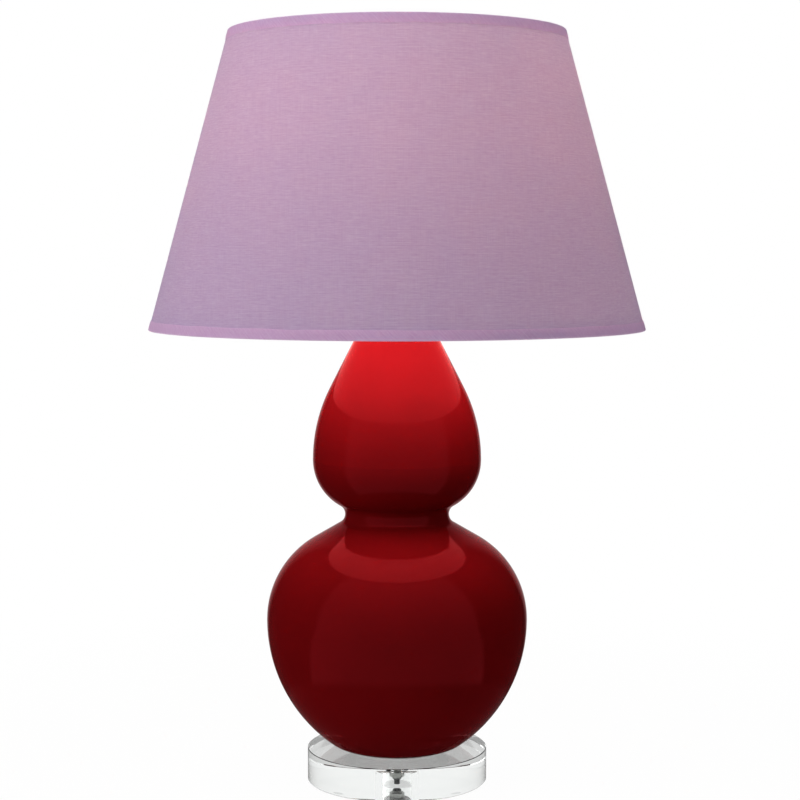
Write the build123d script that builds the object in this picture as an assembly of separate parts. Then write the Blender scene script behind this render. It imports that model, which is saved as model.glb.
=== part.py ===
from build123d import *
from math import acos, atan2, cos, degrees, hypot, pi, radians, sin, sqrt, tan
import os

# Double gourd table lamp: a glazed ceramic double gourd on a clear acrylic disc, held together
# by one threaded pipe, with a socket, harp and hardback empire shade on top.
# Millimetres. Z is up, the table is at Z = 0 and the lamp's axis is the Z axis.
# The harp stands in the XZ plane, and the switch knob points to the front, along -Y.

# ---------------------------------------------------------------- base
BUMPER_R = 6.0
BUMPER_TOP_R = 4.8
BUMPER_H = 2.0
BUMPER_CIRCLE_R = 82.0
BUMPER_COUNT = 4
DISC_R = 97.0
DISC_H = 35.0
DISC_CHAMFER = 0.6
RECESS_R = 15.9
RECESS_DEPTH = 16.0

# ---------------------------------------------------------------- pipe and its hardware
PIPE_R = 4.9
PIPE_BORE_R = 3.2
PIPE_BELOW_NUT = 2.2
PIPE_IN_SOCKET = 8.0
PASSAGE_CLEAR = 0.3  # hole round the pipe, radial
THREAD_CLEAR = 0.05  # nuts and hubs on the pipe, radial
HEX_FLATS = 14.3
BASE_NUT_H = 5.5
LOCK_WASHER_R = 8.0
LOCK_WASHER_T = 1.8
LOCK_WASHER_SPLIT = 1.6
BUSHING_R = 3.1
BUSHING_WALL = 1.2
BUSHING_FLARE_H = 1.6
BUSHING_SHANK_H = 7.0
BUSHING_TO_DISC = 0.4  # the bushing stops this far above the disc's underside

# ---------------------------------------------------------------- ceramic double gourd
# Heights are above the foot. Each lobe's outline is vertical at its widest point.
GASKET_T = 2.0
GASKET_R = 56.0
GASKET_BORE_R = 44.0
GOURD_H = 481.5
GOURD_WALL = 6.0
LOWER_LOBE_R = 140.5
LOWER_LOBE_H = 138.5
FOOT_CORNER_R = 65.5  # where the belly would meet the foot's plane
FOOT_ROUND = 27.0
SHOULDER_ROUND = 101.0
WAIST_R = 56.0
WAIST_H = 252.5
WAIST_ROUND = 11.5
UPPER_LOBE_R = 90.5
UPPER_LOBE_H = 311.5
SIDE_ROUND = 170.5
NECK_R = 28.0
NECK_H = 478.0
NECK_ROUND = 12.0
LIP_ROUND = 1.5
FOOT_RECESS_R = 43.0
FOOT_RECESS_DEPTH = 2.0
FOOT_HOLE_R = 8.0

# ---------------------------------------------------------------- fittings on top of the gourd
CAP_T = 1.0
CAP_SKIRT_H = 3.0
CAP_RISE = 7.0
CAP_HUB_R = 12.0
CAP_SKIRT_CLEAR = 0.3
CHECK_RING_R = 14.0
CHECK_RING_H = 3.0
NECK_PIECE_R = 8.5
NECK_PIECE_WAIST_R = 6.8
NECK_PIECE_H = 10.0
TOP_NUT_H = 4.0

# ---------------------------------------------------------------- harp and saddle
SADDLE_T = 1.6
SADDLE_HUB_R = 12.5
SADDLE_ARM_W = 10.0
SADDLE_FLAT = 14.0
SADDLE_RISE = 7.0
SADDLE_RUN = 10.0
SADDLE_END_PAST_WIRE = 3.6
PRONG_W = 6.0
PRONG_H = 12.0
HARP_WIRE_R = 1.6
HARP_FOOT_X = 30.5
HARP_LEG_H = 34.0
HARP_HALF_W = 59.0
HARP_BULGE_H = 104.0
HARP_H = 241.0  # from the saddle's underside to the seat that the shade rests on
HARP_LEG_BEND = 30.0
HARP_BULGE_BEND = 90.0
HARP_TOP_BEND = 50.0
HARP_EYE_R = 6.5
SLEEVE_H = 12.0
SLEEVE_WALL = 0.7
SLEEVE_CORNER = 1.3
BODY_CLEAR = 0.3  # between a sliding piece and what it slides along
STUD_R = 3.15
STUD_H = 12.5
STUD_FLANGE_R = 8.5
STUD_FLANGE_T = 1.6
STUD_SHANK_R = 2.0
STUD_HEAD_R = 3.4
STUD_HEAD_T = 1.4
STUD_PLAY = 0.2
SHAFT_CLEAR = 0.05  # running fit, radial

# ---------------------------------------------------------------- socket and switch
SOCKET_CAP_H = 20.0
SOCKET_CAP_T = 0.9
SOCKET_HUB_R = 7.2
SOCKET_HUB_H = 9.0
SOCKET_DOME_FOOT = 4.0
SOCKET_DOME_TOP = 14.0
SET_SCREW_R = 1.5
SET_SCREW_L = 3.4
SET_SCREW_Z = 2.3
SHELL_FOOT = 13.0  # the shell starts this far above the cap's underside
SHELL_H = 43.0
SHELL_T = 0.6
SHELL_BEAD = 0.6
NOTCH_W = 5.0
LINER_GAP = 0.1
LINER_T = 0.5
LINER_AIR = 0.85  # between the liner and the screw shell, radial
BLOCK_AIR = 0.9  # between the liner and the block, radial
BLOCK_FOOT = 14.0
BLOCK_H = 18.0
POCKET_X = 9.5
POCKET_H = 11.0
TERMINAL_R = 1.6
TERMINAL_HEAD_R = 2.9
TERMINAL_HEAD_T = 2.0
TERMINAL_DEPTH = 4.5
SCREW_CLEAR = 0.35  # between the screw shell and the bulb's cap, radial
SCREW_SHELL_T = 0.4
SCREW_SHELL_H = 22.0
SCREW_SHELL_FLANGE_R = 8.0
CONTACT_W = 5.0
CONTACT_T = 0.4
CONTACT_X = -6.5  # where the leaf starts
CONTACT_FOOT_L = 4.0
CONTACT_RUN = 3.5
CONTACT_RISE = 2.3
CONTACT_END_X = 4.5
KNOB_Z = 26.0  # above the cap's underside
STEM_R = 1.6
STEM_DEPTH = 8.0
KNOB_R = 6.2
KNOB_L = 14.0
KNOB_REACH = 36.0
KNOB_FLUTES = 12
KNOB_FLUTE_R = 0.9
KNOB_ROUND = 0.8

# ---------------------------------------------------------------- bulb
BULB_R = 33.5
BULB_L = 125.0
BULB_WALL = 0.9
BULB_FOOT = 35.0  # its contact, above the socket cap's underside
BULB_CAP_R = 13.1
BULB_CAP_T = 0.4
BULB_CAP_H = 25.0
BULB_CAP_SHOULDER = 3.0
BULB_EASE = 0.42  # share of the neck's height over which its curve leaves the upright
BULB_IN_CAP = 3.0
NECK_AIR = 0.3  # between the glass neck and the cap, radial
INSULATOR_R = 8.5
INSULATOR_EDGE = 1.0
CONTACT_TIP_R = 4.6
CONTACT_TIP_H = 1.2
CONTACT_TIP_DEPTH = 3.0

# ---------------------------------------------------------------- shade
SHADE_BOTTOM_R = 263.4
SHADE_TOP_R = 178.0
SHADE_H = 312.5
SHADE_ABOVE_SEAT = 18.5  # the top rim stands this far above the washer's seat
FABRIC_T = 0.6
HARDBACK_T = 0.8
GLUE_GAP = 0.05
TRIM_T = 0.7
TRIM_H = 9.5
TRIM_TURN_H = 6.0
SNIP_W = 4.0
RING_WIRE_R = 1.5
RING_SEAT = 0.1
WASHER_R = 14.0
WASHER_T = 1.6
WASHER_HOLE_CLEAR = 0.35
ARM_COUNT = 3
ARM_FIRST_ANGLE = 90.0
ARM_START_R = 11.0
ARM_DROP_RUN = 24.0
ARM_BEND = 14.0

# ---------------------------------------------------------------- finial
FINIAL_FOOT_R = 7.5
FINIAL_FOOT_H = 3.0
FINIAL_NECK_R = 5.0
FINIAL_NECK_H = 5.5
FINIAL_COLLAR_R = 6.6
FINIAL_COLLAR_H = 1.6
FINIAL_BALL_R = 11.5
FINIAL_TIP_R = 2.4
FINIAL_TIP_H = 5.2
FINIAL_BORE_CLEAR = 0.3

# ---------------------------------------------------------------- levels worked out from them
DISC_Z = BUMPER_H
DISC_TOP = DISC_Z + DISC_H
RECESS_TOP = DISC_Z + RECESS_DEPTH
BASE_NUT_TOP = RECESS_TOP - LOCK_WASHER_T
PIPE_FOOT = BASE_NUT_TOP - BASE_NUT_H - PIPE_BELOW_NUT
FOOT_Z = DISC_TOP + GASKET_T
MOUTH_Z = FOOT_Z + GOURD_H
CAP_TOP = MOUTH_Z + CAP_RISE
CHECK_RING_TOP = CAP_TOP + CHECK_RING_H
NECK_PIECE_TOP = CHECK_RING_TOP + NECK_PIECE_H
SADDLE_Z = NECK_PIECE_TOP + TOP_NUT_H
SHELF_Z = SADDLE_Z + SADDLE_RISE + SADDLE_T
SOCKET_Z = SADDLE_Z + SADDLE_T
PIPE_TOP = SOCKET_Z + PIPE_IN_SOCKET
SHELL_Z = SOCKET_Z + SHELL_FOOT
SCREW_SHELL_R = BULB_CAP_R + SCREW_CLEAR
BULB_NECK_R = BULB_CAP_R - BULB_CAP_T - NECK_AIR
LINER_BORE_R = SCREW_SHELL_R + SCREW_SHELL_T + LINER_AIR
BLOCK_R = LINER_BORE_R - BLOCK_AIR
SHELL_R = LINER_BORE_R + LINER_T + LINER_GAP + SHELL_T
SOCKET_CAP_R = SHELL_R + LINER_GAP + SOCKET_CAP_T
BLOCK_Z = SOCKET_Z + BLOCK_FOOT
BLOCK_TOP = BLOCK_Z + BLOCK_H
SWITCH_Z = SOCKET_Z + KNOB_Z
BULB_Z = SOCKET_Z + BULB_FOOT
SEAT_Z = SADDLE_Z + HARP_H
HARP_TOP_Z = SEAT_Z - STUD_FLANGE_T - STUD_PLAY / 2 - HARP_WIRE_R
PRONG_OUTER_X = HARP_FOOT_X - HARP_WIRE_R - BODY_CLEAR
SADDLE_END_X = HARP_FOOT_X + SADDLE_END_PAST_WIRE
SHADE_TOP = SEAT_Z + SHADE_ABOVE_SEAT
SHADE_BOTTOM = SHADE_TOP - SHADE_H
FINIAL_Z = SEAT_Z + WASHER_T


# ---------------------------------------------------------------- helpers
def point(angle, radius, centre=(0.0, 0.0)):
    """A point at an angle in degrees, on a circle of the section plane."""
    return (centre[0] + radius * cos(radians(angle)), centre[1] + radius * sin(radians(angle)))


def section(*points):
    """A closed section of straight edges, in the plane of radius and height."""
    return make_face(Polyline(*points, close=True))


def lathe(face):
    """Turns a section, drawn as radius and height, about the lamp's axis."""
    return revolve(Plane.XZ * face, axis=Axis.Z)


def tube(outer_r, inner_r, low, high):
    return lathe(section((inner_r, low), (outer_r, low), (outer_r, high), (inner_r, high)))


def hex_nut(flats, bore_r, low, height):
    """A hexagonal nut with turned corners, its threads left plain."""
    corner_r = flats / sqrt(3)
    cut = corner_r - flats / 2
    blank = extrude(Pos(0, 0, low) * RegularPolygon(corner_r, 6), height)
    turned = lathe(
        section(
            (0, low),
            (flats / 2, low),
            (corner_r, low + cut * tan(pi / 6)),
            (corner_r, low + height - cut * tan(pi / 6)),
            (flats / 2, low + height),
            (0, low + height),
        )
    )
    return (blank & turned) - Pos(0, 0, low) * Cylinder(bore_r, 3 * height)


def fabric_r(z):
    """The shade's outer radius at a height, without the trim."""
    share = (z - SHADE_BOTTOM) / SHADE_H
    return SHADE_BOTTOM_R + (SHADE_TOP_R - SHADE_BOTTOM_R) * share


def cone_band(low, high, outside, thickness):
    """A conical band that follows the shade, with its outer face this far outside the fabric's."""
    return section(
        (fabric_r(low) + outside - thickness, low),
        (fabric_r(low) + outside, low),
        (fabric_r(high) + outside, high),
        (fabric_r(high) + outside - thickness, high),
    )


# ---------------------------------------------------------------- base
def base_bumpers():
    """Four clear bumpers under the disc, narrower where they meet the table."""
    foot = lathe(section((0, 0), (BUMPER_TOP_R, 0), (BUMPER_R, BUMPER_H), (0, BUMPER_H)))
    return PolarLocations(BUMPER_CIRCLE_R, BUMPER_COUNT, start_angle=45) * foot


def base_disc():
    """The clear disc, with the pipe's hole and the recess that hides the nut below."""
    edge = DISC_CHAMFER
    hole_r = PIPE_R + PASSAGE_CLEAR
    return lathe(
        section(
            (hole_r, DISC_TOP),
            (hole_r, RECESS_TOP),
            (RECESS_R, RECESS_TOP),
            (RECESS_R, DISC_Z),
            (DISC_R - edge, DISC_Z),
            (DISC_R, DISC_Z + edge),
            (DISC_R, DISC_TOP - edge),
            (DISC_R - edge, DISC_TOP),
        )
    )


def base_lock_washer():
    """A split spring washer between the recess's ceiling and the nut."""
    ring = tube(LOCK_WASHER_R, PIPE_R + THREAD_CLEAR, BASE_NUT_TOP, RECESS_TOP)
    split = Box(2 * LOCK_WASHER_R, LOCK_WASHER_SPLIT, 4 * LOCK_WASHER_T)
    return ring - Pos(LOCK_WASHER_R, 0, RECESS_TOP) * Rot(25, 0, 0) * split


def base_nut():
    return hex_nut(HEX_FLATS, PIPE_R + THREAD_CLEAR, BASE_NUT_TOP - BASE_NUT_H, BASE_NUT_H)


def lamp_pipe():
    return tube(PIPE_R, PIPE_BORE_R, PIPE_FOOT, PIPE_TOP)


def cord_bushing():
    """The bushing in the pipe's lower end, flared under the pipe and open for a cord."""
    bore_r = BUSHING_R - BUSHING_WALL
    shank_r = PIPE_BORE_R - THREAD_CLEAR
    foot = DISC_Z + BUSHING_TO_DISC
    return lathe(
        section(
            (bore_r, foot),
            (BUSHING_R, foot),
            (BUSHING_R, PIPE_FOOT - BUSHING_FLARE_H),
            (PIPE_R - THREAD_CLEAR, PIPE_FOOT),
            (shank_r, PIPE_FOOT),
            (shank_r, PIPE_FOOT + BUSHING_SHANK_H),
            (bore_r, PIPE_FOOT + BUSHING_SHANK_H),
        )
    )


def foot_gasket():
    return tube(GASKET_R, GASKET_BORE_R, DISC_TOP, FOOT_Z)


# ---------------------------------------------------------------- gourd
def inner_tangent(convex, convex_r, hollow, hollow_r):
    """Angle at which a convex round is left by the straight line that runs into a hollow one."""
    across = hollow[0] - convex[0]
    up = hollow[1] - convex[1]
    return degrees(atan2(up, across) - acos((convex_r + hollow_r) / hypot(across, up)))


def gourd_rounds():
    """The outline from foot to mouth as (centre, radius, first angle, last angle).

    A hollow round has a negative radius. A straight line joins each round to the next.
    """
    low_z = FOOT_Z + LOWER_LOBE_H
    high_z = FOOT_Z + UPPER_LOBE_H
    half_chord = LOWER_LOBE_R - FOOT_CORNER_R
    belly_r = (half_chord**2 + LOWER_LOBE_H**2) / (2 * half_chord)
    belly = (LOWER_LOBE_R - belly_r, low_z)
    foot_x = belly[0] + sqrt((belly_r - FOOT_ROUND) ** 2 - (LOWER_LOBE_H - FOOT_ROUND) ** 2)
    foot = (foot_x, FOOT_Z + FOOT_ROUND)
    foot_end = degrees(atan2(foot[1] - belly[1], foot[0] - belly[0]))
    shoulder = (LOWER_LOBE_R - SHOULDER_ROUND, low_z)
    waist = (WAIST_R + WAIST_ROUND, FOOT_Z + WAIST_H)
    shoulder_end = inner_tangent(shoulder, SHOULDER_ROUND, waist, WAIST_ROUND)
    run = UPPER_LOBE_R - waist[0]
    hip_r = (run**2 + (high_z - waist[1]) ** 2 - WAIST_ROUND**2) / (2 * (WAIST_ROUND + run))
    hip = (UPPER_LOBE_R - hip_r, high_z)
    waist_end = degrees(atan2(hip[1] - waist[1], hip[0] - waist[0]))
    side = (UPPER_LOBE_R - SIDE_ROUND, high_z)
    neck = (NECK_R + NECK_ROUND, FOOT_Z + NECK_H)
    side_end = inner_tangent(side, SIDE_ROUND, neck, NECK_ROUND)
    return [
        (foot, FOOT_ROUND, -90, foot_end),
        (belly, belly_r, foot_end, 0),
        (shoulder, SHOULDER_ROUND, 0, shoulder_end),
        (waist, -WAIST_ROUND, 180 + shoulder_end, waist_end),
        (hip, hip_r, waist_end - 180, 0),
        (side, SIDE_ROUND, 0, side_end),
        (neck, -NECK_ROUND, 180 + side_end, 180),
    ]


def gourd_section(inset, top):
    """Half section of the gourd, with every wall moved inwards by inset and its mouth at top."""
    edges = []
    last = (0, FOOT_Z + inset)
    for centre, radius, first, final in gourd_rounds():
        size = abs(radius - inset)
        start = point(first, size, centre)
        if hypot(start[0] - last[0], start[1] - last[1]) > 0.001:
            edges.append(Line(last, start))
        edges.append(CenterArc(centre, size, first, final - first))
        last = point(final, size, centre)
    return make_face(edges + [Polyline(last, (last[0], top), (0, top), (0, FOOT_Z + inset))])


def gourd_body():
    """The hollow double gourd, with a foot ring, a hole for the pipe and an open mouth."""
    outside = lathe(gourd_section(0, MOUTH_Z))
    inside = lathe(gourd_section(GOURD_WALL, MOUTH_Z + 1))
    recess = Cylinder(FOOT_RECESS_R, 2 * FOOT_RECESS_DEPTH)
    hole = Cylinder(FOOT_HOLE_R, 4 * GOURD_WALL)
    body = outside - inside - Pos(0, 0, FOOT_Z) * (recess + hole)
    lip = body.edges().group_by(Axis.Z)[-1]
    return fillet(lip, LIP_ROUND)


# ---------------------------------------------------------------- fittings on the gourd
def vase_cap():
    """The spun cap that closes the mouth and centres the pipe."""
    bore_r = PIPE_R + THREAD_CLEAR
    skirt_in = NECK_R + CAP_SKIRT_CLEAR
    skirt_out = skirt_in + CAP_T
    shoulder_z = MOUTH_Z + CAP_T
    crown_r = (skirt_out + CAP_HUB_R) / 2
    seat_r = NECK_R - GOURD_WALL / 2
    edges = [
        Polyline(
            (CAP_HUB_R, CAP_TOP),
            (bore_r, CAP_TOP),
            (bore_r, CAP_TOP - CAP_T),
            (CAP_HUB_R, CAP_TOP - CAP_T),
        ),
        Bezier(
            (CAP_HUB_R, CAP_TOP - CAP_T),
            (crown_r, CAP_TOP - CAP_T),
            (seat_r, CAP_TOP - 2 * CAP_T),
            (seat_r, MOUTH_Z),
        ),
        Polyline(
            (seat_r, MOUTH_Z),
            (skirt_in, MOUTH_Z),
            (skirt_in, MOUTH_Z - CAP_SKIRT_H),
            (skirt_out, MOUTH_Z - CAP_SKIRT_H),
            (skirt_out, shoulder_z),
        ),
        Bezier(
            (skirt_out, shoulder_z),
            (skirt_out, CAP_TOP - CAP_T),
            (crown_r + CAP_T, CAP_TOP),
            (CAP_HUB_R, CAP_TOP),
        ),
    ]
    return lathe(make_face(edges))


def check_ring():
    """A flat ring with a half-round edge."""
    bore_r = PIPE_R + THREAD_CLEAR
    round_r = CHECK_RING_H / 2
    middle = (CHECK_RING_R - round_r, CAP_TOP + round_r)
    start = point(-90, round_r, middle)
    end = point(90, round_r, middle)
    edges = [
        Polyline(end, (bore_r, CHECK_RING_TOP), (bore_r, CAP_TOP), start),
        CenterArc(middle, round_r, -90, 180),
    ]
    return lathe(make_face(edges))


def neck_piece():
    """A turned brass neck, waisted between its two ends."""
    bore_r = PIPE_R + THREAD_CLEAR
    low = (NECK_PIECE_R, CHECK_RING_TOP)
    high = (NECK_PIECE_R, NECK_PIECE_TOP)
    waist = (NECK_PIECE_WAIST_R, (CHECK_RING_TOP + NECK_PIECE_TOP) / 2)
    edges = [
        Polyline(high, (bore_r, NECK_PIECE_TOP), (bore_r, CHECK_RING_TOP), low),
        ThreePointArc(low, waist, high),
    ]
    return lathe(make_face(edges))


def top_nut():
    return hex_nut(HEX_FLATS, PIPE_R + THREAD_CLEAR, NECK_PIECE_TOP, TOP_NUT_H)


# ---------------------------------------------------------------- harp and saddle
def harp_saddle():
    """The bent strip under the socket, with a shelf and an upright prong for each harp leg."""
    ramp_end = SADDLE_FLAT + SADDLE_RUN
    lean = SADDLE_T * SADDLE_RISE / (SADDLE_RUN + hypot(SADDLE_RISE, SADDLE_RUN))
    half = section(
        (0, SADDLE_Z),
        (SADDLE_FLAT, SADDLE_Z),
        (ramp_end, SADDLE_Z + SADDLE_RISE),
        (SADDLE_END_X, SADDLE_Z + SADDLE_RISE),
        (SADDLE_END_X, SHELF_Z),
        (ramp_end - lean, SHELF_Z),
        (SADDLE_FLAT - lean, SADDLE_Z + SADDLE_T),
        (0, SADDLE_Z + SADDLE_T),
    )
    arm = extrude(Plane.XZ * half, SADDLE_ARM_W / 2, both=True)
    prong_place = Pos(PRONG_OUTER_X - SADDLE_T / 2, 0, SHELF_Z + PRONG_H / 2)
    prong = prong_place * Box(SADDLE_T, PRONG_W, PRONG_H)
    side = arm + fillet(prong.edges().filter_by(Axis.X).group_by(Axis.Z)[-1], PRONG_W / 3)
    hub = Pos(0, 0, SADDLE_Z + SADDLE_T / 2) * Cylinder(SADDLE_HUB_R, SADDLE_T)
    bore = Pos(0, 0, SADDLE_Z) * Cylinder(PIPE_R + THREAD_CLEAR, 4 * SADDLE_T)
    return hub + side + mirror(side, Plane.YZ) - bore


def harp_path():
    """The wire's centre line, from one foot over the top to the other."""
    right = [
        (HARP_HALF_W, HARP_TOP_Z),
        (HARP_HALF_W, SADDLE_Z + HARP_BULGE_H),
        (HARP_FOOT_X, SHELF_Z + HARP_LEG_H),
        (HARP_FOOT_X, SHELF_Z),
    ]
    left = [(-x, z) for x, z in reversed(right)]
    bends = [HARP_TOP_BEND, HARP_BULGE_BEND, HARP_LEG_BEND]
    return Plane.XZ * FilletPolyline(*left, *right, radius=bends[::-1] + bends)


def harp_wire():
    """The harp's bent wire, with the eye that carries the swivelling stud."""
    path = harp_path()
    wire = sweep(Plane(path @ 0, z_dir=path % 0) * Circle(HARP_WIRE_R), path=path)
    eye = Pos(0, 0, HARP_TOP_Z) * Cylinder(HARP_EYE_R, 2 * HARP_WIRE_R)
    hole = Pos(0, 0, HARP_TOP_Z) * Cylinder(STUD_SHANK_R + SHAFT_CLEAR, 4 * HARP_WIRE_R)
    return wire + eye - hole


def harp_stud():
    """The swivel on the harp's top: head, shank, the flange that the shade rests on, and stud."""
    eye_low = HARP_TOP_Z - HARP_WIRE_R
    head_top = eye_low - STUD_PLAY
    flange_low = SEAT_Z - STUD_FLANGE_T
    tip = STUD_R / 4
    return lathe(
        section(
            (0, head_top - STUD_HEAD_T),
            (STUD_HEAD_R - STUD_HEAD_T / 2, head_top - STUD_HEAD_T),
            (STUD_HEAD_R, head_top),
            (STUD_SHANK_R, head_top),
            (STUD_SHANK_R, flange_low),
            (STUD_FLANGE_R, flange_low),
            (STUD_FLANGE_R, SEAT_Z),
            (STUD_R, SEAT_Z),
            (STUD_R, SEAT_Z + STUD_H - tip),
            (STUD_R - tip, SEAT_Z + STUD_H),
            (0, SEAT_Z + STUD_H),
        )
    )


def harp_sleeve(side):
    """The locking sleeve round a prong and a harp leg. side is -1 at the left and 1 at the right."""
    inner_low = PRONG_OUTER_X - SADDLE_T - BODY_CLEAR
    inner_high = HARP_FOOT_X + HARP_WIRE_R + BODY_CLEAR
    middle = side * (inner_low + inner_high) / 2
    wide = inner_high - inner_low
    deep = PRONG_W + 2 * BODY_CLEAR
    outer = RectangleRounded(wide + 2 * SLEEVE_WALL, deep + 2 * SLEEVE_WALL, SLEEVE_CORNER)
    inner = RectangleRounded(wide, deep, SLEEVE_CORNER - SLEEVE_WALL)
    return extrude(Pos(middle, 0, SHELF_Z) * (outer - inner), SLEEVE_H)


# ---------------------------------------------------------------- socket
def socket_cap():
    """The domed cap that screws onto the pipe and takes the shell."""
    bore_r = PIPE_R + THREAD_CLEAR
    out_foot = (SOCKET_HUB_R, SOCKET_Z + SOCKET_DOME_FOOT)
    out_top = (SOCKET_CAP_R, SOCKET_Z + SOCKET_DOME_TOP)
    in_foot = (SOCKET_HUB_R - SOCKET_CAP_T, out_foot[1] + 2 * SOCKET_CAP_T)
    in_top = (SOCKET_CAP_R - SOCKET_CAP_T, out_top[1])
    rim = SOCKET_Z + SOCKET_CAP_H
    hub_top = SOCKET_Z + SOCKET_HUB_H
    edges = [
        Polyline(
            in_foot,
            (in_foot[0], hub_top),
            (bore_r, hub_top),
            (bore_r, SOCKET_Z),
            (SOCKET_HUB_R, SOCKET_Z),
            out_foot,
        ),
        Spline(out_foot, out_top, tangents=[(1, 0.5), (0, 1)]),
        Polyline(out_top, (out_top[0], rim), (in_top[0], rim), in_top),
        Spline(in_top, in_foot, tangents=[(0, -1), (-1, -0.5)]),
    ]
    screw_place = Pos(0, SOCKET_HUB_R, SOCKET_Z + SET_SCREW_Z) * Rot(90, 0, 0)
    screw_hole = screw_place * Cylinder(SET_SCREW_R + THREAD_CLEAR, 6 * SET_SCREW_R)
    return lathe(make_face(edges)) - screw_hole


def cap_set_screw():
    """The small screw that locks the cap to the pipe, at the back."""
    start = PIPE_R + THREAD_CLEAR
    body = Cylinder(SET_SCREW_R, SET_SCREW_L)
    return Pos(0, start + SET_SCREW_L / 2, SOCKET_Z + SET_SCREW_Z) * Rot(90, 0, 0) * body


def stem_notch(outer_r):
    """What is cut from the lower front of the shell and of its liner, so that they pass the stem."""
    high = SWITCH_Z + NOTCH_W / 2
    low = SHELL_Z - 1
    return Pos(0, -outer_r, (low + high) / 2) * Box(NOTCH_W, outer_r, high - low)


def socket_shell():
    """The thin metal shell, with a rolled bead at its mouth."""
    top = SHELL_Z + SHELL_H
    inner_r = SHELL_R - SHELL_T
    bead_r = SHELL_R + SHELL_BEAD
    profile = section(
        (inner_r, SHELL_Z),
        (SHELL_R, SHELL_Z),
        (SHELL_R, top - 3 * SHELL_BEAD),
        (bead_r, top - 2 * SHELL_BEAD),
        (bead_r, top - SHELL_BEAD),
        (SHELL_R, top),
        (inner_r, top),
    )
    return lathe(profile) - stem_notch(SHELL_R)


def socket_liner():
    """The fibre sleeve that keeps the shell from the live parts."""
    outer_r = SHELL_R - SHELL_T - LINER_GAP
    sleeve = tube(outer_r, outer_r - LINER_T, SHELL_Z, SHELL_Z + SHELL_H - SHELL_T)
    return sleeve - stem_notch(SHELL_R)


def socket_block():
    """The moulded switch block, with a pocket for each terminal and the stem's hole."""
    middle_z = BLOCK_Z + BLOCK_H / 2
    block = Pos(0, 0, middle_z) * Cylinder(BLOCK_R, BLOCK_H)
    pocket_w = 2 * (BLOCK_R - POCKET_X)
    pocket = Pos(POCKET_X + pocket_w / 2, 0, middle_z) * Box(pocket_w, 2 * BLOCK_R, POCKET_H)
    drill = Cylinder(TERMINAL_R + THREAD_CLEAR, 2 * TERMINAL_DEPTH)
    side = pocket + Pos(POCKET_X, 0, middle_z) * Rot(0, 90, 0) * drill
    stem_place = Pos(0, -STEM_DEPTH - BLOCK_R / 2, SWITCH_Z) * Rot(90, 0, 0)
    stem_hole = stem_place * Cylinder(STEM_R + SHAFT_CLEAR, BLOCK_R)
    return block - side - mirror(side, Plane.YZ) - stem_hole


def terminal_screws():
    """One binding screw in each pocket."""
    middle_z = BLOCK_Z + BLOCK_H / 2
    shank = Pos(0, 0, -TERMINAL_DEPTH / 2) * Cylinder(TERMINAL_R, TERMINAL_DEPTH)
    head = Pos(0, 0, TERMINAL_HEAD_T / 2) * Cylinder(TERMINAL_HEAD_R, TERMINAL_HEAD_T)
    screw = Pos(POCKET_X, 0, middle_z) * Rot(0, 90, 0) * (shank + head)
    return Compound([screw, mirror(screw, Plane.YZ)])


def screw_shell():
    """The shell that takes the bulb's cap, its thread left plain, on a flange with an open middle."""
    outer_r = SCREW_SHELL_R + SCREW_SHELL_T
    top = BLOCK_TOP + SCREW_SHELL_H
    return lathe(
        section(
            (SCREW_SHELL_FLANGE_R, BLOCK_TOP),
            (outer_r, BLOCK_TOP),
            (outer_r, top),
            (SCREW_SHELL_R, top),
            (SCREW_SHELL_R, BLOCK_TOP + SCREW_SHELL_T),
            (SCREW_SHELL_FLANGE_R, BLOCK_TOP + SCREW_SHELL_T),
        )
    )


def centre_contact():
    """The brass leaf under the bulb's tip, bent up from the block."""
    ramp_x = CONTACT_X + CONTACT_FOOT_L
    ramp_end = ramp_x + CONTACT_RUN
    high = BLOCK_TOP + CONTACT_RISE
    lean = CONTACT_T * CONTACT_RISE / (CONTACT_RUN + hypot(CONTACT_RISE, CONTACT_RUN))
    leaf = section(
        (CONTACT_X, BLOCK_TOP),
        (ramp_x, BLOCK_TOP),
        (ramp_end, high),
        (CONTACT_END_X, high),
        (CONTACT_END_X, high + CONTACT_T),
        (ramp_end - lean, high + CONTACT_T),
        (ramp_x - lean, BLOCK_TOP + CONTACT_T),
        (CONTACT_X, BLOCK_TOP + CONTACT_T),
    )
    return extrude(Plane.XZ * leaf, CONTACT_W / 2, both=True)


def switch_stem():
    """The stem from the switch block to the knob."""
    length = KNOB_REACH - KNOB_L / 2 - STEM_DEPTH
    return Pos(0, -STEM_DEPTH - length / 2, SWITCH_Z) * Rot(90, 0, 0) * Cylinder(STEM_R, length)


def switch_knob():
    """The fluted knob, bored for its stem."""
    knob = Cylinder(KNOB_R, KNOB_L)
    knob = fillet(knob.edges().filter_by(GeomType.CIRCLE), KNOB_ROUND)
    flute = Cylinder(KNOB_FLUTE_R, 2 * KNOB_L)
    knob -= PolarLocations(KNOB_R + KNOB_FLUTE_R / 2, KNOB_FLUTES) * flute
    knob -= Pos(0, 0, -KNOB_L / 2) * Cylinder(STEM_R, KNOB_L)
    return Pos(0, KNOB_L / 2 - KNOB_REACH, SWITCH_Z) * Rot(90, 0, 0) * knob


# ---------------------------------------------------------------- bulb
def bulb_section(inset):
    """Half section of the bulb's envelope, moved inwards by inset."""
    low = BULB_Z + BULB_CAP_H - BULB_IN_CAP
    middle = BULB_Z + BULB_L - BULB_R
    neck = (BULB_NECK_R - inset, low)
    widest = (BULB_R - inset, middle)
    pull = BULB_EASE * (middle - low)
    edges = [
        Bezier(neck, (neck[0], low + pull), (widest[0], middle - pull), widest),
        CenterArc((0, middle), BULB_R - inset, 0, 90),
        Polyline((0, middle + BULB_R - inset), (0, low), neck),
    ]
    return make_face(edges)


def bulb_glass():
    return lathe(bulb_section(0) - bulb_section(BULB_WALL))


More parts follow.
